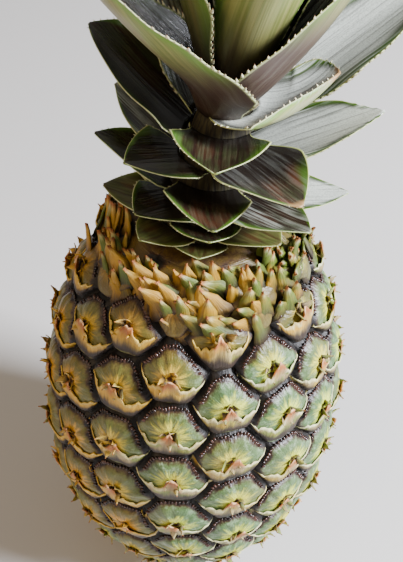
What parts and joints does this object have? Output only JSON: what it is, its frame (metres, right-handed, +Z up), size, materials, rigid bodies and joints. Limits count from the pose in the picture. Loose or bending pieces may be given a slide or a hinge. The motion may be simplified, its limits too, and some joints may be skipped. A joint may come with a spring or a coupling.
{
  "type": "pineapple",
  "caption": "Whole pineapple standing upright: barrel-shaped fruit with a skin of raised eyes, a flat resting spot, and a leafy crown on a short stem.",
  "frame": {"origin": "middle of the flat resting spot under the fruit", "axes": "+Z up along the fruit's axis towards the crown, -Y the side with the best view of the crown's front leaves, +X to the viewer's right"},
  "size_m": [0.1323, 0.1158, 0.3253],
  "materials": {
    "rind": "satin",
    "stem": "matte",
    "neck_leaf": "satin",
    "leaf": "satin"
  },
  "bodies": {
    "root": {"fruit_body": "rind", "crown_stem": "stem", "crown_leaf_01": "neck_leaf", "crown_leaf_02": "neck_leaf", "crown_leaf_03": "neck_leaf", "crown_leaf_04": "neck_leaf", "crown_leaf_05": "neck_leaf", "crown_leaf_06": "neck_leaf", "crown_leaf_07": "neck_leaf", "crown_leaf_08": "neck_leaf", "crown_leaf_09": "leaf", "crown_leaf_10": "leaf", "crown_leaf_11": "leaf", "crown_leaf_12": "leaf", "crown_leaf_13": "leaf", "crown_leaf_14": "leaf", "crown_leaf_15": "leaf", "crown_leaf_16": "leaf", "crown_leaf_17": "leaf", "crown_leaf_18": "leaf", "crown_leaf_19": "leaf", "crown_leaf_20": "leaf", "crown_leaf_21": "leaf", "crown_leaf_22": "leaf", "crown_leaf_23": "leaf", "crown_leaf_24": "leaf", "crown_leaf_25": "leaf", "crown_leaf_26": "leaf", "crown_leaf_27": "leaf", "crown_leaf_28": "leaf", "crown_leaf_29": "leaf", "crown_leaf_30": "leaf", "crown_leaf_31": "leaf", "crown_leaf_32": "leaf", "crown_leaf_33": "leaf", "crown_leaf_34": "leaf", "crown_leaf_35": "leaf", "crown_leaf_36": "leaf", "crown_leaf_37": "leaf", "crown_leaf_38": "leaf", "crown_leaf_39": "leaf", "crown_leaf_40": "leaf", "crown_leaf_41": "leaf", "crown_leaf_42": "leaf", "crown_leaf_43": "leaf", "crown_leaf_44": "leaf"}
  },
  "joints": []
}
